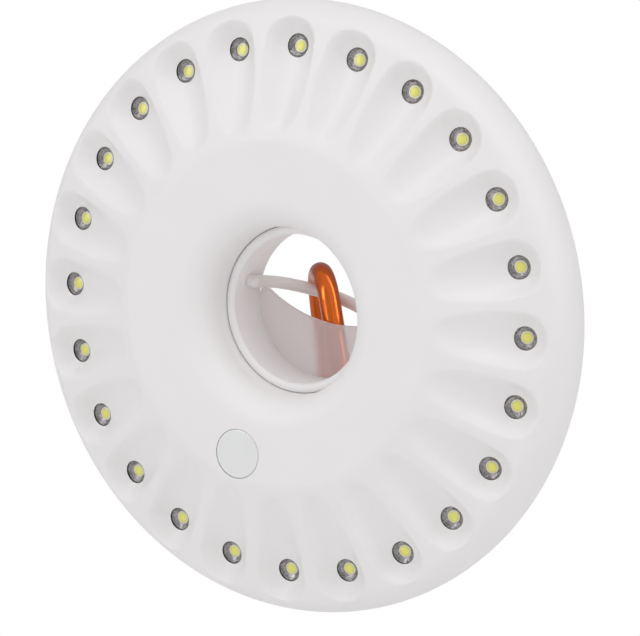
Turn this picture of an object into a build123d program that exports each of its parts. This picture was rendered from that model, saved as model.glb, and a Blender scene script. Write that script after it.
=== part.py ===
from build123d import *
from math import asin, atan2, cos, degrees, radians, sin, sqrt, tan
import os

# Battery light that clamps round a parasol pole. The lit face looks along -Y, +Z is up and the origin is the centre
# of the pole bore's front wall. The light's own features are built upright and then turned about the bore's axis.
LEAN = 16.22  # turn of the light's own up direction about +Y, degrees
RUN = 0.08  # radial clearance of a turning or sliding round fit
GAP = 0.3  # clearance between neighbouring pieces that move
SKIN = 2.0  # wall thickness of both covers

# pole bore, whose size the rest follows
BORE_R, BORE_LEN, BEAD = 24.3, 5.0, 0.9  # with a bead round its front end
RELIEF_R = BORE_R + 0.3  # wider rear stretch that takes the bail
TUBE_R = RELIEF_R + 2.6

# batteries, two on each side of the bore
CELL_R, CELL_LEN, CELL_Y, CELL_GAP = 7.25, 49.5, 3.8, 0.5
NUB_R, NUB = 2.75, 1.0
TRAY_WALL, TRAY_ROOM, END_ROOM = 1.4, 3.4, 4.25
CELL_NEAR = TUBE_R + TRAY_ROOM + TRAY_WALL + GAP + CELL_R
CELL_FAR = CELL_NEAR + 2 * CELL_R + CELL_GAP
TRAY_IN, TRAY_OUT, TRAY_END = CELL_NEAR - CELL_R - GAP, CELL_FAR + CELL_R + GAP, CELL_LEN / 2 + NUB + END_ROOM
CONTACT, SPRING_R, SPRING_WALL = 0.4, 3.2, 0.7

# covers, as radius and depth, and the ring board that stands clear of the trays' corners
RING_ROOM, LED_WIDE, LED_Y, PCB = 6.162, 14.5, 2.5, 1.6
LED_IN = RING_ROOM + sqrt((TRAY_OUT + TRAY_WALL) ** 2 + (TRAY_END + TRAY_WALL) ** 2)
LED_OUT = LED_IN + LED_WIDE
RIM_R, RIM_Y, RIM_ARC = LED_IN + 7.0, 2.8, 15.5  # centre and radius of the rounded rim's section
HOLE_R, ROLL_END, LIP_END = TUBE_R + 0.15, -7.5, -1.5  # front cover's rolled-in hole, round the tube's end
FACE_Y, FACE_IN, FACE_OUT = -18.0, HOLE_R + 8.65, LED_IN - 21.0  # flat ring of the lit face
CONE, SHOULDER = 14.0, 6.0  # slope of the lands between the scoops in degrees, and the bend from them to the rim
BACK_Y, FOOT_Y, FOOT_R = 13.2, 17.8, RIM_R + 2.0  # recessed back and rear rim foot
FOOT_FLAT = FOOT_R - 2.0
LIP = 1.5  # thickness of the rear cover's locating lip

# lamps
LAMPS = 24
LAMP_RING, LAMP_Y, LAMP_R = LED_IN + 8.11, -4.45, 3.85
LAMP_TILT = 10.2
LAMP_SUNK, LAMP_LONG, LAMP_DOME, LEAD_R, LEAD_PITCH = 1.2, 5.0, 0.9, 0.35, 2.54
SCOOP_R, SCOOP_TIP_R = 8.8, 10.0
SCOOP_TIP = (LED_IN - 10.5, -24.0)
POST_RING, POST_R, POSTS = LED_IN + 3.0, 2.5, 6

# cover screws
SCREW_RING, SCREW_ANGLE, BOSS_R = LED_IN - 5.0, 52.5, 3.5
SCREW_R, SCREW_HEAD_R, SCREW_HEAD = 1.4, 2.7, 2.0
BOSS_SPLIT, BOSS_ROOT, SCREW_TIP, SCREW_SEAT = 0.0, -13.9, -10.0, 10.2
CROSS_LONG, CROSS_WIDE, CROSS_DEEP = 3.2, 0.8, 0.9

# push button and its board, below the bore
BUTTON_R, BUTTON_PROUD, BUTTON_TRAVEL = 8.0, 0.2, 1.2
BUTTON_AT = -(FACE_IN + BUTTON_R + 4.0)
FLANGE, FLANGE_GAP = 1.2, 0.8
FLANGE_R = BUTTON_R + 0.8
STEM_R, STEM_END = 1.5, -11.6
SWITCH, SWITCH_FRONT, SWITCH_FLOOR = 6.2, -12.2, -10.1
BOARD_X, BOARD_Z, BOARD_Y = 29.0, 15.0, -9.0
BOARD_SCREW_X, BOARD_BOSS_R, BOARD_SCREW_R, BOARD_HEAD_R, BOARD_HEAD = 11.8, 2.5, 0.9, 1.9, 1.3

# battery doors
DOOR_GAP, DOOR, DOOR_SEAT = 0.4, 1.7, 0.6
HINGE_OUT, HINGE_R, HINGE_LIFT, PIN_R, KNUCKLE, KNUCKLE_AT, EAR = 3.1, 2.0, 0.3, 0.9, 7.0, 17.0, 2.4
GRIPS, GRIP_PITCH, GRIP_WIDE, GRIP_LONG, GRIP_TALL = 4, 1.6, 0.8, 14.0, 0.5

# sliding jaw behind the bore
JAW_Y, JAW, JAW_HALF, JAW_END, JAW_TRAVEL = BACK_Y + 0.15, 1.2, BORE_R - 0.3, -61.7, 18.5
JAW_ARC, JAW_LOW, JAW_LOW_X, JAW_CORNER = 48.0, -6.5, -4.0, -3.3
POST_X, POST_Z, JAW_POST_R, JAW_HEAD_R, JAW_HEAD = 16.0, -52.0, 2.5, 4.6, 0.6
COIL_R, COIL_WALL, COIL, COIL_LEG = 4.4, 0.9, 1.8, 6.0
TAB_X, TAB_Z, TAB, TAB_TALL = 20.0, -60.0, 3.0, 3.2

# bail, whose wire lies against the bore's wall and carries the carabiner HOOK_Y behind the bore's middle
ROD_R, BAIL_SAG, HOOK_Y = 2.0, 3.45, 25.809
BAIL_R = BORE_R - ROD_R
HANG = 69.2  # where the carabiner hangs, degrees round the bail from its left pivot
BAIL_Y = HOOK_Y - BAIL_R * sin(radians(HANG)) * cos(radians(BAIL_SAG))

# carabiner
CLIP_R, CLIP_TOP, CLIP_BOTTOM, CLIP_LONG = 3.5, 8.75, 16.0, 41.5
HANG_GAP = 1.1
ACROSS = Vector(0.6845, -0.7290, 0.0)  # from the far leg to the near leg
DOWN = Vector(0.0920, 0.0965, -0.9911)
NOSE, GATE_R, GATE_GAP, TONGUE, RIVET_R, FORK = 9.5, 3.0, 0.5, 3.0, 1.0, 6.5
GATE_SPRING_R, GATE_SPRING = 1.1, 7.0


def at(x, y, z):
    return Location((x, y, z))


def rod(radius, y0, y1, x=0.0, z=0.0):
    """A cylinder along Y from y0 to y1."""
    return at(x, (y0 + y1) / 2, z) * Rotation(90, 0, 0) * Cylinder(radius, abs(y1 - y0))


def tube(outer, inner, y0, y1, x=0.0, z=0.0):
    return rod(outer, y0, y1, x, z) - rod(inner, y0 - 1, y1 + 1, x, z)


def block(x0, x1, y0, y1, z0, z1):
    return at((x0 + x1) / 2, (y0 + y1) / 2, (z0 + z1) / 2) * Box(abs(x1 - x0), abs(y1 - y0), abs(z1 - z0))


def post_z(radius, z0, z1, x, y):
    return at(x, y, (z0 + z1) / 2) * Cylinder(radius, abs(z1 - z0))


def round_y(shape, angle):
    """Turns a shape about the bore's axis; 0 is own +X and 90 is own +Z."""
    return Rotation(0, -angle, 0) * shape


def spun(edges):
    """Revolves a closed section drawn as radius and depth."""
    return revolve(make_face(Wire(edges)), Axis.Y)


def chain(points):
    return [Line(a, b) for a, b in zip(points, points[1:])]


def write(name, shape, turned=True):
    shape = Rotation(0, LEAN, 0) * shape if turned else shape
    export_step(shape, os.path.join("parts", name + ".step"))
    print(f"{name:22s} solids {len(shape.solids()):3d} volume {shape.volume:10.1f}")


def rim_point(radius, angle):
    """A point of the rim's section; the angle runs from the front (-90) over the widest point (0) to the back."""
    a = radians(angle)
    return (RIM_R + radius * cos(a), RIM_Y + radius * sin(a))


def rim_arc(radius, a0, a1):
    return ThreePointArc(rim_point(radius, a0), rim_point(radius, (a0 + a1) / 2), rim_point(radius, a1))


def lamp_frame():
    """The scoop's floor under a lamp on own +X, and the lamp's axis that points out of it."""
    t = radians(LAMP_TILT)
    return Vector(LAMP_RING, LAMP_Y, 0), Vector(sin(t), -cos(t), 0)


def capsule(grow):
    """A tapered capsule on own +X that scoops the rim over one lamp."""
    floor, out = lamp_frame()
    big = floor + out * SCOOP_R
    tip = Vector(*SCOOP_TIP, 0)
    long, r0, r1 = (big - tip).length, SCOOP_TIP_R + grow, SCOOP_R + grow
    a = asin((r1 - r0) / long)
    p0 = (-r0 * sin(a), r0 * cos(a))
    p1 = (long - r1 * sin(a), r1 * cos(a))
    edges = [
        ThreePointArc((-r0, 0), (-r0 * cos(radians(45) - a / 2), r0 * sin(radians(45) - a / 2)), p0),
        Line(p0, p1),
        ThreePointArc(p1, (long + r1 * sin(radians(45) - a / 2), r1 * cos(radians(45) - a / 2)), (long + r1, 0)),
        Line((long + r1, 0), (-r0, 0)),
    ]
    body = revolve(make_face(Wire(edges)), Axis.X)
    return Plane(origin=tip, x_dir=big - tip, z_dir=(0, 0, 1)).location * body


def lamp_rod(radius, d0, d1):
    """A cylinder on one lamp's axis; depths are measured from the scoop's floor into the light."""
    floor, out = lamp_frame()
    return Plane(origin=floor - out * d0, z_dir=-out).location * at(0, 0, (d1 - d0) / 2) * Cylinder(radius, d1 - d0)


lamp_angles = [-90 + 360 / LAMPS * k for k in range(LAMPS)]
screw_angles = [SCREW_ANGLE, 180 - SCREW_ANGLE, 180 + SCREW_ANGLE, -SCREW_ANGLE]
sides = {"left": -1, "right": 1}


def screw_at(angle):
    return SCREW_RING * cos(radians(angle)), SCREW_RING * sin(radians(angle))


def shoulder_middle():
    """Middle of the shoulder's arc, which touches both the land and the rim's arc, with the turn towards the rim."""
    c = radians(CONE)
    x, y = FACE_OUT - SHOULDER * sin(c) - RIM_R, FACE_Y + SHOULDER * cos(c) - RIM_Y
    along = x * cos(c) + y * sin(c)
    along = sqrt(along ** 2 - x ** 2 - y ** 2 + (RIM_ARC - SHOULDER) ** 2) - along
    x, y = x + along * cos(c), y + along * sin(c)
    return RIM_R + x, RIM_Y + y, degrees(atan2(y, x))


def shoulder_point(skin, angle):
    x, y, turn = shoulder_middle()
    a = radians(angle)
    return (x + (SHOULDER - skin) * cos(a), y + (SHOULDER - skin) * sin(a))


def front_section(skin):
    """Half section of the front cover's surface, moved inwards by skin."""
    roll = [(HOLE_R + skin, LIP_END), (HOLE_R + skin, ROLL_END)]
    r, d = FACE_IN - HOLE_R - skin, ROLL_END - FACE_Y - skin
    quarter = [(FACE_IN - r * cos(radians(a)), ROLL_END - d * sin(radians(a))) for a in range(15, 91, 15)]
    start = (FACE_OUT - skin * tan(radians(CONE / 2)), FACE_Y + skin)
    return roll, [roll[1]] + quarter, [quarter[-1], start, shoulder_point(skin, CONE - 90)]


def front_edges(skin):
    roll, quarter, land = front_section(skin)
    turn = shoulder_middle()[2]
    bend = [shoulder_point(skin, a) for a in (CONE - 90, (CONE - 90 + turn) / 2, turn)]
    sweep = [Spline(quarter, tangents=[(0, -1), (1, 0)])]
    return chain(roll) + sweep + chain(land) + [ThreePointArc(*bend), rim_arc(RIM_ARC - skin, turn, 0)]


# ---- front cover: rim, lands, scoops with a lamp hole in each floor, the button's hole and the bosses
outer, inner = front_edges(0), front_edges(SKIN)
seam_out, seam_in = rim_point(RIM_ARC, 0), rim_point(RIM_ARC - SKIN, 0)
front = spun(outer + [Line(seam_out, seam_in)] + inner + [Line((HOLE_R, LIP_END), (HOLE_R + SKIN, LIP_END))])
solid_front = spun(outer + chain([seam_out, (HOLE_R, RIM_Y), (HOLE_R, LIP_END)]))
for angle in screw_angles:
    x, z = screw_at(angle)
    front += rod(BOSS_R, BOSS_ROOT, BOSS_SPLIT, x, z) & solid_front
for x in (-BOARD_SCREW_X, BOARD_SCREW_X):
    front += rod(BOARD_BOSS_R, FACE_Y + SKIN / 2, BOARD_Y, x, BUTTON_AT)
shells = [round_y(capsule(SKIN * 0.9), a) for a in lamp_angles]
front = front + [s & solid_front for s in shells]
front = front - [round_y(capsule(0), a) for a in lamp_angles]
front = front - [round_y(lamp_rod(LAMP_R, -1, 4), a) for a in lamp_angles]
front -= rod(BUTTON_R + RUN, FACE_Y - 1, FACE_Y + SKIN + 1, z=BUTTON_AT)
for angle in screw_angles:
    x, z = screw_at(angle)
    front -= rod(SCREW_R + 0.05, SCREW_TIP - 1, BOSS_SPLIT + 1, x, z)
for x in (-BOARD_SCREW_X, BOARD_SCREW_X):
    front -= rod(BOARD_SCREW_R + 0.05, FACE_Y + SKIN + 2, BOARD_Y + 1, x, BUTTON_AT)

# ---- rear cover: rim with its foot, recessed back, pole tube, doors' openings, bosses and posts
in_y = BACK_Y - SKIN
open_in, open_out, open_end = TRAY_IN - DOOR_SEAT, TRAY_OUT + DOOR_SEAT, TRAY_END + DOOR_SEAT
hinge_x = open_out + HINGE_OUT
foot_a = degrees(asin((FOOT_Y - RIM_Y) / RIM_ARC))
foot_in_a = degrees(asin((FOOT_Y - 1.4 * SKIN - RIM_Y) / (RIM_ARC - SKIN)))
foot_out, foot_in = rim_point(RIM_ARC, foot_a), rim_point(RIM_ARC - SKIN, foot_in_a)
half = BORE_LEN / 2
rear = spun(
    [rim_arc(RIM_ARC, 0, foot_a)]
    + chain([foot_out, (FOOT_R, FOOT_Y), (FOOT_FLAT, BACK_Y), (RELIEF_R, BACK_Y), (RELIEF_R, half), (BORE_R, half),
             (BORE_R, -half)])
    + [ThreePointArc((BORE_R, -half), ((BORE_R + TUBE_R) / 2, -half - BEAD), (TUBE_R, -half))]
    + chain([(TUBE_R, -half), (TUBE_R, in_y), (FOOT_FLAT + SKIN, in_y), (FOOT_R + SKIN, FOOT_Y - SKIN), foot_in])
    + [rim_arc(RIM_ARC - SKIN, foot_in_a, 0), Line(seam_in, seam_out)]
)
lip_r = sqrt((RIM_ARC - SKIN) ** 2 - 4) + RIM_R - 0.25
rear += tube(lip_r, lip_r - LIP, RIM_Y - 2, RIM_Y + 2)
rear += tube(RIM_R + RIM_ARC - SKIN / 2, lip_r - LIP, RIM_Y, RIM_Y + 2)
for angle in screw_angles:
    x, z = screw_at(angle)
    rear += rod(BOSS_R, BOSS_SPLIT, in_y + 1, x, z)
for k in range(POSTS):
    rear += round_y(rod(POST_R, LED_Y + PCB, in_y + 1, POST_RING), 360 / POSTS * (k + 0.5))
for x in (-POST_X, POST_X):
    rear += rod(JAW_POST_R, BACK_Y - 1, JAW_Y + JAW + GAP, x, POST_Z)
    rear += rod(JAW_POST_R + 1.5, in_y - 4, in_y + 1, x, POST_Z)
hinge_y = BACK_Y + HINGE_LIFT + HINGE_R
for s in (-1, 1):
    for z in (-KNUCKLE_AT, KNUCKLE_AT):
        for e in (-1, 1):
            zc = z + e * (KNUCKLE / 2 + GAP + EAR / 2)
            ear = (zc - EAR / 2, zc + EAR / 2)
            rear += post_z(HINGE_R, *ear, s * hinge_x, hinge_y)
            rear += block(s * hinge_x - HINGE_R, s * hinge_x + HINGE_R, BACK_Y - 1, hinge_y, *ear)
        rear -= post_z(PIN_R, z - KNUCKLE / 2 - GAP - EAR - 1, z + KNUCKLE / 2 + GAP + EAR + 1, s * hinge_x, hinge_y)
    rear -= block(s * open_in, s * open_out, in_y - 1, BACK_Y + 1, -open_end, open_end)
pivots = at(0, BAIL_Y, 0) * Rotation(0, 90, 0) * Cylinder(ROD_R + RUN, 80)
rear -= pivots & rod(TUBE_R + 2, BAIL_Y - 2 * ROD_R, BAIL_Y + 2 * ROD_R)
for angle in screw_angles:
    x, z = screw_at(angle)
    rear -= rod(SCREW_R + 0.2, BOSS_SPLIT - 1, BACK_Y + 1, x, z)
    rear -= rod(SCREW_HEAD_R + 0.3, SCREW_SEAT, BACK_Y + 1, x, z)
for x in (-POST_X, POST_X):
    rear -= rod(BOARD_SCREW_R + 0.05, BACK_Y - 5, JAW_Y + JAW + 2, x, POST_Z)

os.makedirs("parts", exist_ok=True)
write("front_cover", front)
write("rear_cover", rear)

cover_screws, cross_y = [], SCREW_SEAT + SCREW_HEAD - CROSS_DEEP
for angle in screw_angles:
    x, z = screw_at(angle)
    screw = rod(SCREW_R, SCREW_TIP, SCREW_SEAT + 0.5, x, z)
    screw += rod(SCREW_HEAD_R, SCREW_SEAT, SCREW_SEAT + SCREW_HEAD, x, z)
    slot = block(x - CROSS_LONG / 2, x + CROSS_LONG / 2, cross_y, BACK_Y, z - CROSS_WIDE / 2, z + CROSS_WIDE / 2)
    cross = block(x - CROSS_WIDE / 2, x + CROSS_WIDE / 2, cross_y, BACK_Y, z - CROSS_LONG / 2, z + CROSS_LONG / 2)
    cover_screws.append(screw - slot - cross)
write("cover_screws", Compound(cover_screws))

# ---- ring board with one lamp under each scoop
led_board = tube(LED_OUT, LED_IN, LED_Y, LED_Y + PCB)
lamp = lamp_rod(LAMP_R - 0.2, LAMP_SUNK + LAMP_DOME, LAMP_SUNK + LAMP_LONG)
crown_r = (LAMP_R - 0.2) ** 2 / (2 * LAMP_DOME) + LAMP_DOME / 2
floor, out = lamp_frame()
ball = Plane(origin=floor - out * (LAMP_SUNK + crown_r), z_dir=-out).location * Sphere(crown_r)
lamp += ball & lamp_rod(LAMP_R - 0.2, LAMP_SUNK - 0.5, LAMP_SUNK + LAMP_DOME + 0.5)
foot = floor - out * (LAMP_SUNK + LAMP_LONG)
for z in (-LEAD_PITCH / 2, LEAD_PITCH / 2):
    lead = rod(LEAD_R, foot.Y - 1.5, LED_Y + PCB + 0.8, foot.X, z)
    lamp += lead
    for a in lamp_angles:
        led_board -= round_y(rod(LEAD_R + 0.1, LED_Y - 1, LED_Y + PCB + 1, foot.X, z), a)
write("led_board", led_board)
write("led_lamps", Compound([round_y(lamp, a) for a in lamp_angles]))

# ---- push button, switch and control board
flange_y = FACE_Y + SKIN + FLANGE_GAP
button = rod(BUTTON_R, FACE_Y - BUTTON_PROUD, flange_y + FLANGE, z=BUTTON_AT)
button = fillet(button.edges().sort_by(Axis.Y)[:1], 0.5)
button += rod(FLANGE_R, flange_y, flange_y + FLANGE, z=BUTTON_AT)
button += rod(STEM_R, flange_y, STEM_END, z=BUTTON_AT)
write("button_cap", button)
s = SWITCH / 2
switch = block(-s, s, SWITCH_FRONT, BOARD_Y, BUTTON_AT - s, BUTTON_AT + s)
switch -= rod(STEM_R + RUN, SWITCH_FRONT - 1, SWITCH_FLOOR, z=BUTTON_AT)
write("tact_switch", switch)
board = block(-BOARD_X / 2, BOARD_X / 2, BOARD_Y, BOARD_Y + PCB, BUTTON_AT - BOARD_Z / 2, BUTTON_AT + BOARD_Z / 2)
board_screws = []
for x in (-BOARD_SCREW_X, BOARD_SCREW_X):
    board -= rod(BOARD_SCREW_R + 0.2, BOARD_Y - 1, BOARD_Y + PCB + 1, x, BUTTON_AT)
    under = BOARD_Y + PCB
    board_screws.append(rod(BOARD_SCREW_R, BOARD_Y - 4, under + 0.5, x, BUTTON_AT)
                        + rod(BOARD_HEAD_R, under, under + BOARD_HEAD, x, BUTTON_AT))
write("control_board", board)
write("board_screws", Compound(board_screws))

# ---- battery trays, cells, contacts and doors, two cells on each side of the bore
tray_y0 = CELL_Y - CELL_R - GAP
z_plus = CELL_LEN / 2  # the cell's shoulder at its positive end
plates, springs, pins = [], [], []
cell_no = 0
for name, s in sides.items():
    tray_end = TRAY_END + TRAY_WALL
    tray = block(s * (TRAY_IN - TRAY_WALL), s * (TRAY_OUT + TRAY_WALL), tray_y0 - TRAY_WALL, in_y, -tray_end, tray_end)
    tray -= block(s * TRAY_IN, s * TRAY_OUT, tray_y0, in_y + 1, -TRAY_END, TRAY_END)
    write("battery_tray_" + name, tray)
    for i, cx in enumerate((CELL_NEAR, CELL_FAR)):
        up = 1 if i == 0 else -1
        x = s * cx
        cell_no += 1
        cell = post_z(CELL_R, -z_plus, z_plus, x, CELL_Y) + post_z(NUB_R, up * z_plus, up * (z_plus + NUB), x, CELL_Y)
        write(f"battery_{cell_no}", cell)
        face, tail = up * (z_plus + NUB), -up * z_plus
        wall = TRAY_END - CONTACT
        plates.append(block(x - 6, x + 6, CELL_Y - 5, CELL_Y + 5, up * wall, up * TRAY_END))
        plates[-1] += block(x - 2, x + 2, CELL_Y - 2, CELL_Y + 2, face, up * wall)
        plates.append(block(x - 6, x + 6, CELL_Y - 5, CELL_Y + 5, -up * wall, -up * TRAY_END))
        coil = post_z(SPRING_R, tail, -up * wall, x, CELL_Y)
        springs.append(coil - post_z(SPRING_R - SPRING_WALL, tail - 1, tail + 1, x, CELL_Y)
                       - post_z(SPRING_R - SPRING_WALL, tail, -up * wall, x, CELL_Y))
    x0, x1 = open_in + DOOR_GAP, open_out - DOOR_GAP
    door = block(s * x0, s * x1, BACK_Y - DOOR, BACK_Y, DOOR_GAP - open_end, open_end - DOOR_GAP)
    for z in (-KNUCKLE_AT, KNUCKLE_AT):
        zs = (z - KNUCKLE / 2, z + KNUCKLE / 2)
        door += block(s * (x1 - 4), s * (x1 - 1.5), BACK_Y - 0.5, hinge_y, *zs)
        door += block(s * (x1 - 4), s * hinge_x, hinge_y - HINGE_R + 0.2, hinge_y + HINGE_R, *zs)
        door += post_z(HINGE_R, *zs, s * hinge_x, hinge_y)
        door -= post_z(PIN_R + RUN, zs[0] - 1, zs[1] + 1, s * hinge_x, hinge_y)
        end = KNUCKLE / 2 + GAP + EAR
        pins.append(post_z(PIN_R, z - end, z + end, s * hinge_x, hinge_y))
    for k in range(GRIPS):  # finger ribs by the free edge
        x = x0 + 2 + GRIP_PITCH * k
        door += block(s * x, s * (x + GRIP_WIDE), BACK_Y - 0.5, BACK_Y + GRIP_TALL, -GRIP_LONG / 2, GRIP_LONG / 2)
    write("battery_door_" + name, door)
write("contact_plates", Compound(plates))
write("contact_springs", Compound(springs))
write("door_pins", Compound(pins))

# ---- sliding jaw: a slotted plate on two posts, its arched edge across the lower part of the bore
jaw = block(-JAW_HALF, JAW_HALF, JAW_Y, JAW_Y + JAW, JAW_END, JAW_CORNER)
jaw -= rod(JAW_ARC, JAW_Y - 1, JAW_Y + JAW + 1, JAW_LOW_X, JAW_LOW + JAW_ARC)
for x in (-POST_X, POST_X):
    slot_r = JAW_POST_R + GAP
    jaw -= rod(slot_r, JAW_Y - 1, JAW_Y + JAW + 1, x, POST_Z)
    jaw -= rod(slot_r, JAW_Y - 1, JAW_Y + JAW + 1, x, POST_Z + JAW_TRAVEL)
    jaw -= block(x - slot_r, x + slot_r, JAW_Y - 1, JAW_Y + JAW + 1, POST_Z, POST_Z + JAW_TRAVEL)
jaw += block(-TAB_X, TAB_X, JAW_Y, JAW_Y + JAW + TAB_TALL, TAB_Z - TAB / 2, TAB_Z + TAB / 2)
write("clamp_jaw", jaw)
jaw_screws, jaw_springs = [], []
coil_y = JAW_Y + JAW + GAP
for s in (-1, 1):
    x = s * POST_X
    head_y = coil_y + COIL + 0.2
    jaw_screws.append(rod(BOARD_SCREW_R, BACK_Y - 4, head_y + 0.5, x, POST_Z)
                      + rod(JAW_HEAD_R, head_y, head_y + JAW_HEAD, x, POST_Z))
    coil = tube(COIL_R, COIL_R - COIL_WALL, coil_y, coil_y + COIL, x, POST_Z)
    leg = block(x - s * (COIL_R - COIL_WALL), x - s * COIL_R, coil_y, coil_y + COIL_WALL, POST_Z - COIL_LEG, POST_Z)
    jaw_springs.append(coil + leg)
write("jaw_screws", Compound(jaw_screws))
write("jaw_springs", Compound(jaw_springs))

# ---- bail: a round-wire half ring that turns in two holes of the tube's wall
sag = radians(BAIL_SAG)
arch = Plane(origin=(0, BAIL_Y, 0), x_dir=(1, 0, 0), z_dir=(0, -sin(sag), -cos(sag)))
ring = Torus(BAIL_R, ROD_R)
keep = at(0, -BAIL_R, 0) * Box(4 * BAIL_R, 2 * BAIL_R, 4 * ROD_R)
bail = arch.location * (ring & keep)
for s in (-1, 1):
    bail += at(s * BAIL_R, BAIL_Y, 0) * Sphere(ROD_R)
    stub = Rotation(0, 90, 0) * Cylinder(ROD_R, TUBE_R + 0.6 - BAIL_R)
    bail += at(s * (BAIL_R + TUBE_R + 0.6) / 2, BAIL_Y, 0) * stub
write("bail", bail)

# ---- carabiner: pear-shaped round bar over the bail, with a sprung gate on its far leg
t, lean = radians(HANG), radians(LEAN)
hook = Vector(-cos(t) * BAIL_R, HOOK_Y, -sin(t) * BAIL_R * sin(sag))
hook = Vector(hook.X * cos(lean) + hook.Z * sin(lean), hook.Y, hook.Z * cos(lean) - hook.X * sin(lean))
crown = hook + DOWN * (CLIP_TOP - CLIP_R - ROD_R - HANG_GAP)
clip = Plane(origin=crown, x_dir=ACROSS, z_dir=ACROSS.cross(-DOWN))
a = asin((CLIP_BOTTOM - CLIP_TOP) / CLIP_LONG)


def on(radius, angle, centre):
    """A point of the clip's centre line: angle 0 is the near side and 90 is up."""
    return (radius * cos(angle), centre + radius * sin(angle))


top0, top1 = on(CLIP_TOP, a, 0), on(CLIP_TOP, radians(180) - a, 0)
low0, low1 = on(CLIP_BOTTOM, a, -CLIP_LONG), on(CLIP_BOTTOM, radians(180) - a, -CLIP_LONG)
leg = Vector(*low1) - Vector(*top1)
leg_long, leg_dir = leg.length, leg.normalized()
nose_end = Vector(*top1) + leg_dir * NOSE
fork_end = Vector(*low1) - leg_dir * FORK
path = Wire([
    Line(nose_end, Vector(*top1)),
    ThreePointArc(top1, on(CLIP_TOP, radians(90), 0), top0),
    Line(top0, low0),
    ThreePointArc(low0, on(CLIP_BOTTOM, radians(-90), -CLIP_LONG), low1),
    Line(Vector(*low1), fork_end),
])
body = sweep(Plane(origin=path @ 0, z_dir=path % 0) * Circle(CLIP_R), path=path)
pivot = Vector(*low1) - leg_dir * (FORK / 2)
gate_plane = Plane(origin=pivot, x_dir=-leg_dir, z_dir=(0, 0, 1))
long = leg_long - NOSE - FORK / 2
body -= gate_plane.location * Box(FORK + 5, 3 * CLIP_R, TONGUE + 2 * GAP)
fork_tip = at(FORK / 2, 0, 0) * Box(FORK, 3 * CLIP_R, 3 * CLIP_R) - Cylinder(CLIP_R - 0.1, 4 * CLIP_R)
body -= gate_plane.location * fork_tip
body -= gate_plane.location * Cylinder(RIVET_R, 4 * CLIP_R)
gate_from, gate_to = CLIP_R + GATE_GAP - 0.1, long - GATE_GAP
bar = Rotation(0, 90, 0) * Cylinder(GATE_R, gate_to - gate_from)
gate = gate_plane.location * at((gate_from + gate_to) / 2, 0, 0) * bar
gate += gate_plane.location * at(gate_from / 2 + 0.5, 0, 0) * Box(gate_from + 1, 2 * TONGUE * 0.8, TONGUE)
gate += gate_plane.location * Cylinder(TONGUE * 0.8, TONGUE)
gate -= gate_plane.location * Cylinder(RIVET_R + RUN, 4 * CLIP_R)
bore_at = gate_from + 3
spring_at = gate_plane.location * at(bore_at + GATE_SPRING / 2, 0, 0) * Rotation(0, 90, 0)
gate -= spring_at * Cylinder(GATE_SPRING_R + 0.1, GATE_SPRING + 0.2)
gate_spring = spring_at * Cylinder(GATE_SPRING_R, GATE_SPRING)
rivet = gate_plane.location * Cylinder(RIVET_R, 2 * CLIP_R - 0.6)
clip_parts = {"carabiner_body": body, "carabiner_gate": gate, "gate_rivet": rivet, "gate_spring": gate_spring}
for name, shape in clip_parts.items():
    write(name, clip.location * shape, turned=False)

# ---- places that the joints use
turn = Rotation(0, LEAN, 0)
print("hinge", hinge_x, hinge_y)
print("hook", hook, "crown", crown)
print("gate pivot", clip.from_local_coords(pivot), "gate axis", clip.z_dir)
print("clip bottom", clip.from_local_coords(Vector(0, -CLIP_LONG - CLIP_BOTTOM, 0)))
tangent = Vector(sin(t), cos(t) * cos(sag), -cos(t) * sin(sag))
turned_x, turned_z = tangent.X * cos(lean) + tangent.Z * sin(lean), tangent.Z * cos(lean) - tangent.X * sin(lean)
tangent = Vector(turned_x, tangent.Y, turned_z)
print("bail tangent", tangent)
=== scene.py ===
import math
import bmesh
import bpy
import numpy as np
from mathutils import Matrix, Vector


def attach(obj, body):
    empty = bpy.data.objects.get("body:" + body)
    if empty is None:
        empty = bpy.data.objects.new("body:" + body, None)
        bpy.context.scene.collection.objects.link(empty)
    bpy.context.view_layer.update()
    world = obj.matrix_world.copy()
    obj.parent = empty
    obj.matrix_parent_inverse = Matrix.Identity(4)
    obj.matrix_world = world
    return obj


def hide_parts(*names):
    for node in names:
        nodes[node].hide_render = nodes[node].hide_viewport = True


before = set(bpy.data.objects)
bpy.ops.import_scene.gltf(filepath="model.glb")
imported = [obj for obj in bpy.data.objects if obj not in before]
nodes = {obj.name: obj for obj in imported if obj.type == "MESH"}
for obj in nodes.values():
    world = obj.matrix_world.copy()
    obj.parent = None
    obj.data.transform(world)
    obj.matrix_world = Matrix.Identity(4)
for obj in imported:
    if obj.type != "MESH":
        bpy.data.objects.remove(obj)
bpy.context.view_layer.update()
mm = 0.001

# Camera. A long lens from the front right and a little above.
camera_data = bpy.data.cameras.new("camera")
camera_data.lens = 261.5
camera_data.sensor_width = 36.0
camera_data.clip_end = 20
camera = bpy.data.objects.new("camera", camera_data)
bpy.context.scene.collection.objects.link(camera)
camera.matrix_world = Matrix((
    (0.84857, -0.08268, 0.52259, 0.78574),
    (0.52909, 0.13260, -0.83814, -1.24953),
    (0.00000, 0.98771, 0.15627, 0.23030),
    (0, 0, 0, 1)))
bpy.context.scene.camera = camera
bpy.context.scene.view_settings.view_transform = "Standard"

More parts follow.
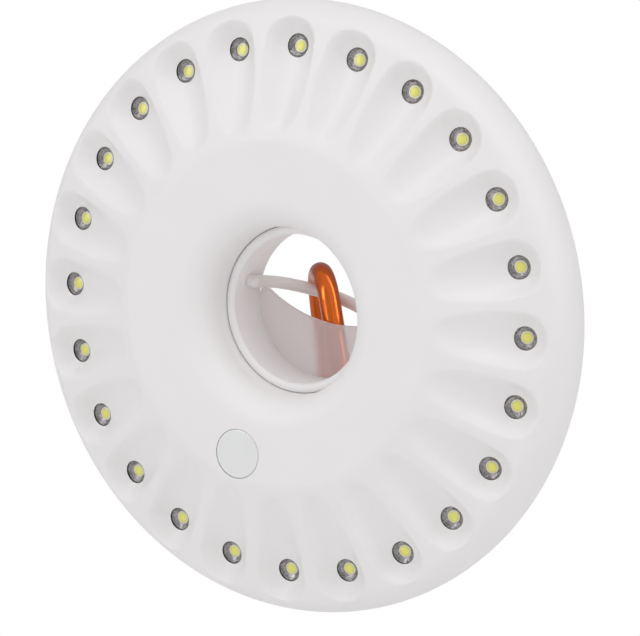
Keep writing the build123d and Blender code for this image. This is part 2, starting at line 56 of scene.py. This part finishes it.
# Room. A pale floor and a white backdrop. The surround is softly lit for matt faces, and mirrored faces see a
# dim one with two bright panels. Two tall strip lamps and a soft lamp above add to it.
surround, surround_strength = (1.0, 0.992, 0.992, 1), 0.70
panel_dim, panel_bright, panel_strength = 0.16, 1.0, 2.8
panel_right, panel_left, panel_edge = (0.145, 0.19), (0.49, 0.53), 0.02
world = bpy.data.worlds.new("room")
bpy.context.scene.world = world
world.use_nodes = True
tree = world.node_tree
tree.nodes.clear()
out = tree.nodes.new("ShaderNodeOutputWorld")
mix = tree.nodes.new("ShaderNodeMixShader")
light_path = tree.nodes.new("ShaderNodeLightPath")
soft = tree.nodes.new("ShaderNodeBackground")
soft.inputs["Color"].default_value = surround
soft.inputs["Strength"].default_value = surround_strength
white = tree.nodes.new("ShaderNodeBackground")
white.inputs["Strength"].default_value = 1.0
either = tree.nodes.new("ShaderNodeMath")
either.operation = "MAXIMUM"
tree.links.new(light_path.outputs["Is Camera Ray"], either.inputs[0])
tree.links.new(light_path.outputs["Is Transmission Ray"], either.inputs[1])
dim = tree.nodes.new("ShaderNodeBackground")
around = tree.nodes.new("ShaderNodeTexCoord")
heading = tree.nodes.new("ShaderNodeTexGradient")
heading.gradient_type = "RADIAL"
panels = tree.nodes.new("ShaderNodeValToRGB")
for begin, end in (panel_right, panel_left):
    for at, level in ((begin - panel_edge, panel_dim), (begin, panel_bright),
                      (end, panel_bright), (end + panel_edge, panel_dim)):
        panels.color_ramp.elements.new(at).color = (level, level, level, 1)
for border in (0, -1):
    panels.color_ramp.elements[border].color = (panel_dim, panel_dim, panel_dim, 1)
tree.links.new(around.outputs["Generated"], heading.inputs["Vector"])
tree.links.new(heading.outputs["Fac"], panels.inputs[0])
tree.links.new(panels.outputs[0], dim.inputs["Color"])
dim.inputs["Strength"].default_value = panel_strength
mirrored = tree.nodes.new("ShaderNodeMixShader")
tree.links.new(light_path.outputs["Is Glossy Ray"], mirrored.inputs[0])
tree.links.new(soft.outputs[0], mirrored.inputs[1])
tree.links.new(dim.outputs[0], mirrored.inputs[2])
tree.links.new(either.outputs[0], mix.inputs[0])
tree.links.new(mirrored.outputs[0], mix.inputs[1])
tree.links.new(white.outputs[0], mix.inputs[2])
tree.links.new(mix.outputs[0], out.inputs[0])


def lamp(name, place, wide, tall, power):
    """A rectangular lamp that faces the light's middle."""
    data = bpy.data.lights.new(name, "AREA")
    data.shape = "RECTANGLE"
    data.size = wide
    data.size_y = tall
    data.energy = power
    o = bpy.data.objects.new(name, data)
    bpy.context.scene.collection.objects.link(o)
    o.location = place
    o.rotation_euler = (-Vector(place)).to_track_quat("-Z", "Y").to_euler()


lamp("lamp_right", (1.62, -0.10, 0.9), 0.5, 2.0, 0.6)
lamp("lamp_left", (-0.93, -1.33, 0.6), 0.5, 2.0, 1.2)
lamp("lamp_top", (0.6, -0.7, 1.8), 1.0, 1.0, 6)

bpy.ops.object.select_all(action="DESELECT")
floor_wide, floor_level = 6, -0.13
bpy.ops.mesh.primitive_grid_add(x_subdivisions=2, y_subdivisions=2, size=floor_wide,
                                location=(0, 0, floor_level))
floor = bpy.context.object
floor.name = "floor"
floor_paint = bpy.data.materials.new("floor_paint")
floor_paint.use_nodes = True
tree = floor_paint.node_tree
principled = tree.nodes["Principled BSDF"]
principled.inputs["Base Color"].default_value = (0.9, 0.9, 0.9, 1)
principled.inputs["Roughness"].default_value = 0.9
glow = tree.nodes.new("ShaderNodeEmission")
seen = tree.nodes.new("ShaderNodeLightPath")
mix = tree.nodes.new("ShaderNodeMixShader")
tree.links.new(seen.outputs["Is Camera Ray"], mix.inputs[0])
tree.links.new(principled.outputs[0], mix.inputs[1])
tree.links.new(glow.outputs[0], mix.inputs[2])
tree.links.new(mix.outputs[0], tree.nodes["Material Output"].inputs[0])
floor.data.materials.append(floor_paint)


# Finishes. One group gives each finish its clouds of tone and its fine grain.
finish_group = bpy.data.node_groups.new("tone_and_grain", "ShaderNodeTree")
for title, kind in (("Dark", "Color"), ("Light", "Color"), ("Smoothest", "Float"), ("Roughest", "Float"),
                    ("Cloud Scale", "Float"), ("Grain Scale", "Float"), ("Grain Strength", "Float")):
    finish_group.interface.new_socket(name=title, in_out="INPUT", socket_type="NodeSocket" + kind)
for title, kind in (("Color", "Color"), ("Roughness", "Float"), ("Normal", "Vector")):
    finish_group.interface.new_socket(name=title, in_out="OUTPUT", socket_type="NodeSocket" + kind)
tree = finish_group
given, result = tree.nodes.new("NodeGroupInput"), tree.nodes.new("NodeGroupOutput")
place = tree.nodes.new("ShaderNodeTexCoord")
cloud = tree.nodes.new("ShaderNodeTexNoise")
cloud.inputs["Detail"].default_value = 3
tree.links.new(place.outputs["Object"], cloud.inputs["Vector"])
tree.links.new(given.outputs["Cloud Scale"], cloud.inputs["Scale"])
share = tree.nodes.new("ShaderNodeMapRange")
share.inputs["From Min"].default_value = 0.3
share.inputs["From Max"].default_value = 0.7
tree.links.new(cloud.outputs["Fac"], share.inputs["Value"])
tone = tree.nodes.new("ShaderNodeMix")
tone.data_type = "RGBA"
tree.links.new(share.outputs[0], tone.inputs["Factor"])
tree.links.new(given.outputs["Dark"], tone.inputs["A"])
tree.links.new(given.outputs["Light"], tone.inputs["B"])
tree.links.new(tone.outputs["Result"], result.inputs["Color"])
span = tree.nodes.new("ShaderNodeMapRange")
tree.links.new(cloud.outputs["Fac"], span.inputs["Value"])
tree.links.new(given.outputs["Smoothest"], span.inputs["To Min"])
tree.links.new(given.outputs["Roughest"], span.inputs["To Max"])
tree.links.new(span.outputs[0], result.inputs["Roughness"])
fine = tree.nodes.new("ShaderNodeTexNoise")
fine.inputs["Detail"].default_value = 2
tree.links.new(place.outputs["Object"], fine.inputs["Vector"])
tree.links.new(given.outputs["Grain Scale"], fine.inputs["Scale"])
raised = tree.nodes.new("ShaderNodeBump")
raised.inputs["Distance"].default_value = 0.0002
tree.links.new(fine.outputs["Fac"], raised.inputs["Height"])
tree.links.new(given.outputs["Grain Strength"], raised.inputs["Strength"])
tree.links.new(raised.outputs[0], result.inputs["Normal"])


def plain(name, colour, rough, metallic=0.0, bump=0.0, grain=400.0, coat=0.0, vary=0.03,
          coat_rough=0.1, cloud=45.0):
    """A finish with a little change of tone and a fine surface grain."""
    m = bpy.data.materials.new(name)
    m.use_nodes = True
    t = m.node_tree
    p = t.nodes["Principled BSDF"]
    p.inputs["Metallic"].default_value = metallic
    p.inputs["Coat Weight"].default_value = coat
    p.inputs["Coat Roughness"].default_value = coat_rough
    skin = t.nodes.new("ShaderNodeGroup")
    skin.node_tree = finish_group
    skin.inputs["Dark"].default_value = tuple(c * (1 - vary) for c in colour) + (1,)
    skin.inputs["Light"].default_value = tuple(min(1, c * (1 + vary)) for c in colour) + (1,)
    skin.inputs["Smoothest"].default_value = rough * 0.85
    skin.inputs["Roughest"].default_value = rough * 1.15
    skin.inputs["Cloud Scale"].default_value = cloud
    skin.inputs["Grain Scale"].default_value = grain
    skin.inputs["Grain Strength"].default_value = bump
    t.links.new(skin.outputs["Color"], p.inputs["Base Color"])
    t.links.new(skin.outputs["Roughness"], p.inputs["Roughness"])
    t.links.new(skin.outputs["Normal"], p.inputs["Normal"])
    return m


def finish(piece, body, material):
    """A new piece rides on its body and gets its finish."""
    piece.data.materials.clear()
    piece.data.materials.append(material)
    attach(piece, body)


def paint(name, material, angle=35):
    """A CAD node keeps its mesh and gets a finish."""
    o = nodes[name]
    o.data.materials.clear()
    o.data.materials.append(material)
    bpy.ops.object.select_all(action="DESELECT")
    o.select_set(True)
    bpy.context.view_layer.objects.active = o
    bpy.ops.object.shade_smooth_by_angle(angle=math.radians(angle))


# Front cover. Moulded white plastic with a satin skin: a rounded rim, sloping lands, a rolled-in hole, and
# scoops pressed into the rim, one over each lamp, each with a round hole in its floor.
lean = math.radians(16.22)
shell_plastic = plain("shell_plastic", (0.96, 0.945, 0.948), 0.48, bump=0.05, coat=0.1, coat_rough=0.3,
                      vary=0.01)
rim_r, rim_y, rim_arc, cone, lamp_tilt = 84.0, 2.8, 15.5, math.radians(14.0), math.radians(10.2)
face_y, face_in, face_out = -18.0, 36.0, 56.0
hole_r, roll_end, lip_start, lip_end = 27.35, -7.5, -4.5, -1.5
shoulder, wall = 6.0, 2.0
# middle of the shoulder's arc, which touches the land and the rim's arc
way = np.array((math.cos(cone), math.sin(cone)))
inward = np.array((-way[1], way[0]))
start = np.array((face_out, face_y)) + shoulder * inward - (rim_r, rim_y)
land_long = -start @ way + math.sqrt((start @ way) ** 2 - start @ start + (rim_arc - shoulder) ** 2)
shoulder_mid = start + land_long * way + (rim_r, rim_y)
land_end = face_out + land_long * way[0]
shoulder_turn = math.atan2(shoulder_mid[1] - rim_y, shoulder_mid[0] - rim_r)
shoulder_end = rim_r + rim_arc * math.cos(shoulder_turn)
lamps = 24
steps, pitch = lamps * 36, 2 * math.pi / lamps
floor_r, floor_y, lamp_hole_r, lamp_wall = 85.11, -4.45, 3.85, 2.4
floor_point = np.array((floor_r, floor_y, 0.0))
lamp_out = np.array((math.sin(lamp_tilt), -math.cos(lamp_tilt), 0.0))
# each scoop is swept by a ball that grows on its way in: place along the radius, depth of its middle, radius
scoop_r, ball_steps = 8.8, 80
ball_out = np.array((*(floor_point + scoop_r * lamp_out)[:2], scoop_r))
ball_in = np.array((66.5, -24.0, 10.0))
# how far a scoop's edge is softened, from the inner end of the softening to its outer end
edge_in, edge_out, edge_from, edge_long = 0.7, 3.6, 62.0, 30.0
outside, fall = -99.0, 4  # depth where no scoop reaches, and how steeply a scoop fades beyond its ball


def cover_y(r):
    """Depth of the turned surface under the scoops."""
    land = face_y + np.maximum(r - face_out, 0) * math.tan(cone)
    bend = shoulder_mid[1] - np.sqrt(np.maximum(shoulder ** 2 - (r - shoulder_mid[0]) ** 2, 0))
    arc = rim_y - np.sqrt(np.maximum(rim_arc ** 2 - (r - rim_r) ** 2, 0))
    return np.where(r < land_end, land, np.where(r < shoulder_end, bend, arc))


def scooped_y(along, across):
    """Depth of the surface with its scoop, at places measured towards the lamp and across that line."""
    pressed = np.full(len(along), outside)
    for share in np.linspace(0, 1, ball_steps):
        r, y, ball = ball_out + (ball_in - ball_out) * share
        d = np.hypot(along - r, across)
        bowl = y + np.sqrt(np.maximum(ball ** 2 - d ** 2, 0))
        pressed = np.maximum(pressed, np.where(d < ball, bowl, y - fall * (d - ball)))
    plain_y = cover_y(np.hypot(along, across))
    soft = edge_in + (edge_out - edge_in) * np.clip((along - edge_from) / edge_long, 0, 1)
    h = np.clip(0.5 + 0.5 * (pressed - plain_y) / soft, 0, 1)
    return plain_y * (1 - h) + pressed * h + soft * h * (1 - h)


section = [(hole_r, lip_end), (hole_r, lip_start)]
for a in np.linspace(0, math.pi / 2, 15):
    section.append((face_in - (face_in - hole_r) * math.cos(a), roll_end + (face_y - roll_end) * math.sin(a)))
flat_from, flat_to, flat_rows = face_in + 2.0, face_out - 1.0, 18
section += [(r, face_y) for r in np.linspace(flat_from, flat_to, flat_rows)]
section += [(r, cover_y(r)) for r in np.linspace(face_out, land_end, 42)[:-1]]
section += [(r, cover_y(r)) for r in np.linspace(land_end, shoulder_end, 14)[:-1]]
for a in np.linspace(shoulder_turn, 0, 20):
    section.append((rim_r + rim_arc * math.cos(a), rim_y + rim_arc * math.sin(a)))
section += [(rim_r + rim_arc - wall, rim_y)]
mesh = bpy.data.meshes.new("front_shell")
mesh.from_pydata([(r * mm, y * mm, 0) for r, y in section], [(i, i + 1) for i in range(len(section) - 1)], [])
shell = bpy.data.objects.new("front_shell", mesh)
bpy.context.scene.collection.objects.link(shell)
bpy.ops.object.select_all(action="DESELECT")
shell.select_set(True)
bpy.context.view_layer.objects.active = shell
bpy.ops.object.mode_set(mode="EDIT")
bpy.ops.mesh.select_all(action="SELECT")
bpy.ops.mesh.spin(steps=steps, angle=2 * math.pi, center=(0, 0, 0), axis=(0, 1, 0))
bpy.ops.mesh.select_all(action="SELECT")
bpy.ops.mesh.remove_doubles(threshold=0.00001)
bpy.ops.mesh.normals_make_consistent(inside=False)
bpy.ops.object.mode_set(mode="OBJECT")

# The scoops: every point between the flat ring and the widest line goes to the scooped depth, and the points
# just inside a lamp's hole move out to its edge.
zone_from, zone_to = face_out + 0.5, rim_r + rim_arc - 1.0
co = np.zeros(len(mesh.vertices) * 3)
mesh.vertices.foreach_get("co", co)
co = co.reshape(-1, 3) / mm
radius = np.hypot(co[:, 0], co[:, 2])
turn = np.arctan2(co[:, 2], co[:, 0]) + lean  # angle in the light's own directions
own_lamp = np.round((turn + math.pi / 2) / pitch) * pitch - math.pi / 2
across, along = radius * np.sin(turn - own_lamp), radius * np.cos(turn - own_lamp)
zone = (radius > zone_from) & (radius < zone_to)
depth = np.where(zone, scooped_y(along, across), co[:, 1])


def from_axis(along, across, depth):
    """Distance from the lamp's own axis."""
    offset = np.stack((along, depth, across), 1) - floor_point
    return np.linalg.norm(offset - np.outer(offset @ lamp_out, lamp_out), axis=1)


in_hole = zone & (from_axis(along, across, depth) < lamp_hole_r)
# The push button's hole in the flat ring, straight below the bore in the light's own directions.
button_hole_r, button_at = 8.0 + 0.08, 48.0
button_x, button_z = -button_at * math.sin(lean), -button_at * math.cos(lean)
from_button = np.hypot(co[:, 0] - button_x, co[:, 2] - button_z)
in_button = (from_button < button_hole_r) & (co[:, 1] < face_y + 1.0)
tool = bmesh.new()
tool.from_mesh(mesh)
tool.verts.ensure_lookup_table()
in_button_whole = [f for f in tool.faces if all(in_button[v.index] for v in f.verts)]
gone = [f for f in tool.faces if all(in_hole[v.index] for v in f.verts)] + in_button_whole
inner_button = {v.index for v in tool.verts if all(in_button[w.index] for f in v.link_faces for w in f.verts)}
button_edge = np.array(sorted(set(np.flatnonzero(in_button).tolist()) - inner_button))
inner_points = {v.index for v in tool.verts if all(in_hole[w.index] for f in v.link_faces for w in f.verts)}
edge = np.array(sorted({i for i in range(len(in_hole)) if in_hole[i]} - inner_points))
for _ in range(4):
    grow = lamp_hole_r / from_axis(along[edge], across[edge], depth[edge])
    along[edge] = floor_r + (along[edge] - floor_r) * grow
    across[edge] *= grow
    depth[edge] = scooped_y(along[edge], across[edge])
moved = own_lamp - lean
x = along * np.cos(moved) - across * np.sin(moved)
z = along * np.sin(moved) + across * np.cos(moved)
co = np.stack((x, depth, z), 1)
grow = button_hole_r / from_button[button_edge]
co[button_edge, 0] = button_x + (co[button_edge, 0] - button_x) * grow
co[button_edge, 2] = button_z + (co[button_edge, 2] - button_z) * grow
co[button_edge, 1] = cover_y(np.hypot(co[button_edge, 0], co[button_edge, 2]))
for v in tool.verts:
    v.co = co[v.index] * mm
bmesh.ops.delete(tool, geom=gone, context="FACES")
edge_set = set(edge.tolist()) | set(button_edge.tolist())
rims = [e for e in tool.edges if e.is_boundary and all(v.index in edge_set for v in e.verts)]
directions = {v: Matrix.Rotation(-moved[v.index], 3, "Y") @ Vector(lamp_out) for e in rims for v in e.verts}
directions.update({v: Vector((0, -1, 0)) for v in directions if in_button[v.index]})
grown = bmesh.ops.extrude_edge_only(tool, edges=rims)
for v in [g for g in grown["geom"] if isinstance(g, bmesh.types.BMVert)]:
    above = next(w for e in v.link_edges for w in (e.other_vert(v),) if w in directions)
    v.co = above.co - directions[above] * lamp_wall * mm
tool.to_mesh(mesh)
tool.free()
mesh.update()
bpy.ops.object.shade_smooth_by_angle(angle=math.radians(50))
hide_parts("front_cover")
finish(shell, "housing", shell_plastic)

# Rear cover. The other half of the rim with the pole tube and the recessed back, in the same plastic.
paint("rear_cover", shell_plastic)
for n in ("battery_tray_left", "battery_tray_right", "battery_door_left", "battery_door_right"):
    paint(n, shell_plastic)

# Small inner pieces.
board_green = plain("board_green", (0.03, 0.17, 0.07), 0.45, bump=0.1, coat=0.3)
black_plastic = plain("black_plastic", (0.03, 0.03, 0.03), 0.5, bump=0.1)
steel = plain("steel", (0.62, 0.62, 0.62), 0.3, metallic=1.0, bump=0.05)
can = plain("can", (0.12, 0.13, 0.16), 0.35, metallic=0.6)
nickel = plain("nickel", (0.70, 0.69, 0.66), 0.25, metallic=1.0)
for material, names in ((board_green, ("led_board", "control_board")),
                        (black_plastic, ("tact_switch",)),
                        (can, ("battery_1", "battery_2", "battery_3", "battery_4")),
                        (nickel, ("contact_plates", "contact_springs")),
                        (steel, ("board_screws", "cover_screws", "door_pins", "jaw_screws", "jaw_springs",
                                 "gate_rivet", "gate_spring"))):
    for name in names:
        paint(name, material)

# Lamps. A sparkling grey cup with a yellow phosphor spot in a cream collar, under a clear dome, in a hole of
# each scoop's floor.
cup_grey = plain("cup_grey", (0.33, 0.31, 0.315), 0.3, metallic=0.7, bump=1.0, grain=1100, vary=0.5,
                 cloud=1400)
phosphor = plain("phosphor", (1.0, 0.97, 0.20), 0.4, vary=0.0)
cream = plain("cream", (1.0, 0.99, 0.80), 0.4, vary=0.0)
clear = plain("clear", (1.0, 1.0, 1.0), 0.05, vary=0.0)
tree = clear.node_tree
principled = tree.nodes["Principled BSDF"]
through = tree.nodes.new("ShaderNodeBsdfTransparent")
mirror = tree.nodes.new("ShaderNodeFresnel")
mirror.inputs["IOR"].default_value = 1.5
behind = tree.nodes.new("ShaderNodeNewGeometry")
outside_only = tree.nodes.new("ShaderNodeMath")
outside_only.operation = "SUBTRACT"
outside_only.use_clamp = True
both = tree.nodes.new("ShaderNodeMixShader")
principled.inputs["Metallic"].default_value = 1.0
tree.links.new(mirror.outputs[0], outside_only.inputs[0])
tree.links.new(behind.outputs["Backfacing"], outside_only.inputs[1])
tree.links.new(outside_only.outputs[0], both.inputs[0])
tree.links.new(through.outputs[0], both.inputs[1])
tree.links.new(principled.outputs[0], both.inputs[2])
tree.links.new(both.outputs[0], tree.nodes["Material Output"].inputs[0])


def lathe(name, points, steps=48):
    """A section of radius and height, spun about Z."""
    m = bpy.data.meshes.new(name)
    m.from_pydata([(r * mm, 0, z * mm) for r, z in points], [(i, i + 1) for i in range(len(points) - 1)], [])
    o = bpy.data.objects.new(name, m)
    bpy.context.scene.collection.objects.link(o)
    bpy.ops.object.select_all(action="DESELECT")
    o.select_set(True)
    bpy.context.view_layer.objects.active = o
    bpy.ops.object.mode_set(mode="EDIT")
    bpy.ops.mesh.select_all(action="SELECT")
    bpy.ops.mesh.spin(steps=steps, angle=2 * math.pi, center=(0, 0, 0), axis=(0, 0, 1))
    bpy.ops.mesh.select_all(action="SELECT")
    bpy.ops.mesh.remove_doubles(threshold=0.000005)
    bpy.ops.mesh.normals_make_consistent(inside=False)
    bpy.ops.object.mode_set(mode="OBJECT")
    bpy.ops.object.shade_smooth_by_angle(angle=math.radians(40))
    return o


def ring_of(piece, name):
    """Copies one lamp piece, made about its own axis, into every scoop and joins the copies."""
    copies = []
    z = Vector(lamp_out)
    x = Vector((-lamp_out[1], lamp_out[0], 0))
    y = z.cross(x)
    base = Matrix((x, y, z)).transposed().to_4x4()
    base.translation = Vector((floor_r * mm, floor_y * mm, 0))
    for k in range(lamps):
        c = piece.copy()
        c.data = piece.data.copy()
        bpy.context.scene.collection.objects.link(c)
        c.data.transform(Matrix.Rotation(math.pi / 2 - pitch * k + lean, 4, "Y") @ base)
        copies.append(c)
    bpy.data.objects.remove(piece)
    bpy.ops.object.select_all(action="DESELECT")
    for c in copies:
        c.select_set(True)
    bpy.context.view_layer.objects.active = copies[0]
    bpy.ops.object.join()
    copies[0].name = name
    return copies[0]


cup = [(3.84, 0.2), (3.6, -0.1), (3.1, -0.45), (2.5, -0.8), (2.05, -1.0), (1.9, -1.1), (0.0, -1.1)]
cups = ring_of(lathe("lamp_cup", cup), "lamp_cups")
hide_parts("led_lamps")
finish(cups, "housing", cup_grey)
collar = [(2.2, -1.0), (2.1, -0.7), (1.7, -0.62), (1.6, -1.0)]
collars = ring_of(lathe("lamp_collar", collar), "lamp_collars")
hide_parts("led_lamps")
finish(collars, "housing", cream)
spot = [(1.68, -1.0), (1.62, -0.65), (1.2, -0.48), (0.6, -0.4), (0.0, -0.38)]
spots = ring_of(lathe("lamp_spot", spot), "lamp_spots")
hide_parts("led_lamps")
finish(spots, "housing", phosphor)
dome = [(3.8, -0.15), (3.6, 0.02), (2.9, 0.28), (2.0, 0.48), (1.0, 0.6), (0.0, 0.63)]
domes = ring_of(lathe("lamp_dome", dome), "lamp_domes")
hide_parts("led_lamps")
finish(domes, "housing", clear)

# Push button. A round cap of greyish translucent plastic, nearly flush with the flat ring.
button_grey = plain("button_grey", (0.89, 0.905, 0.90), 0.3, coat=0.4, vary=0.02)
paint("button_cap", button_grey)

# Jaw. A thin plate of milky translucent plastic.
milky = plain("milky", (0.87, 0.80, 0.80), 0.3, vary=0.01)
milky.node_tree.nodes["Principled BSDF"].inputs["Transmission Weight"].default_value = 0.6
milky.node_tree.nodes["Principled BSDF"].inputs["IOR"].default_value = 1.2
paint("clamp_jaw", milky)

# Bail. Steel wire with a white coat.
bail_white = plain("bail_white", (0.86, 0.83, 0.82), 0.35, coat=0.3, vary=0.02)
paint("bail", bail_white)

# Carabiner. Round aluminium bar, anodised orange, with painted shade: its colour darkens towards the edges
# the camera sees at a slant, in place of dark surroundings mirrored in the metal.
orange = plain("orange", (0.95, 0.20, 0.033), 0.2, metallic=1.0, vary=0.06, coat=0.15, coat_rough=0.06)
tree = orange.node_tree
principled = tree.nodes["Principled BSDF"]
base = principled.inputs["Base Color"].links[0].from_socket
# Painted shade: a ramp on how squarely the bar faces the camera darkens the base colour towards its edges.
facing = tree.nodes.new("ShaderNodeLayerWeight")
facing.inputs["Blend"].default_value = 0.5
painted_edge_shade = tree.nodes.new("ShaderNodeValToRGB")
painted_edge_shade.color_ramp.elements[0].color = (1.0, 1.0, 1.0, 1)
painted_edge_shade.color_ramp.elements[1].color = (0.35, 0.20, 0.20, 1)
painted_edge_shade.color_ramp.elements[1].position = 0.9
edge_shade_multiply = tree.nodes.new("ShaderNodeMix")
edge_shade_multiply.data_type = "RGBA"
edge_shade_multiply.blend_type = "MULTIPLY"
edge_shade_multiply.inputs["Factor"].default_value = 1.0
tree.links.new(facing.outputs["Facing"], painted_edge_shade.inputs[0])
tree.links.new(base, edge_shade_multiply.inputs["A"])
tree.links.new(painted_edge_shade.outputs[0], edge_shade_multiply.inputs["B"])
tree.links.new(edge_shade_multiply.outputs["Result"], principled.inputs["Base Color"])
paint("carabiner_body", orange)
paint("carabiner_gate", orange)
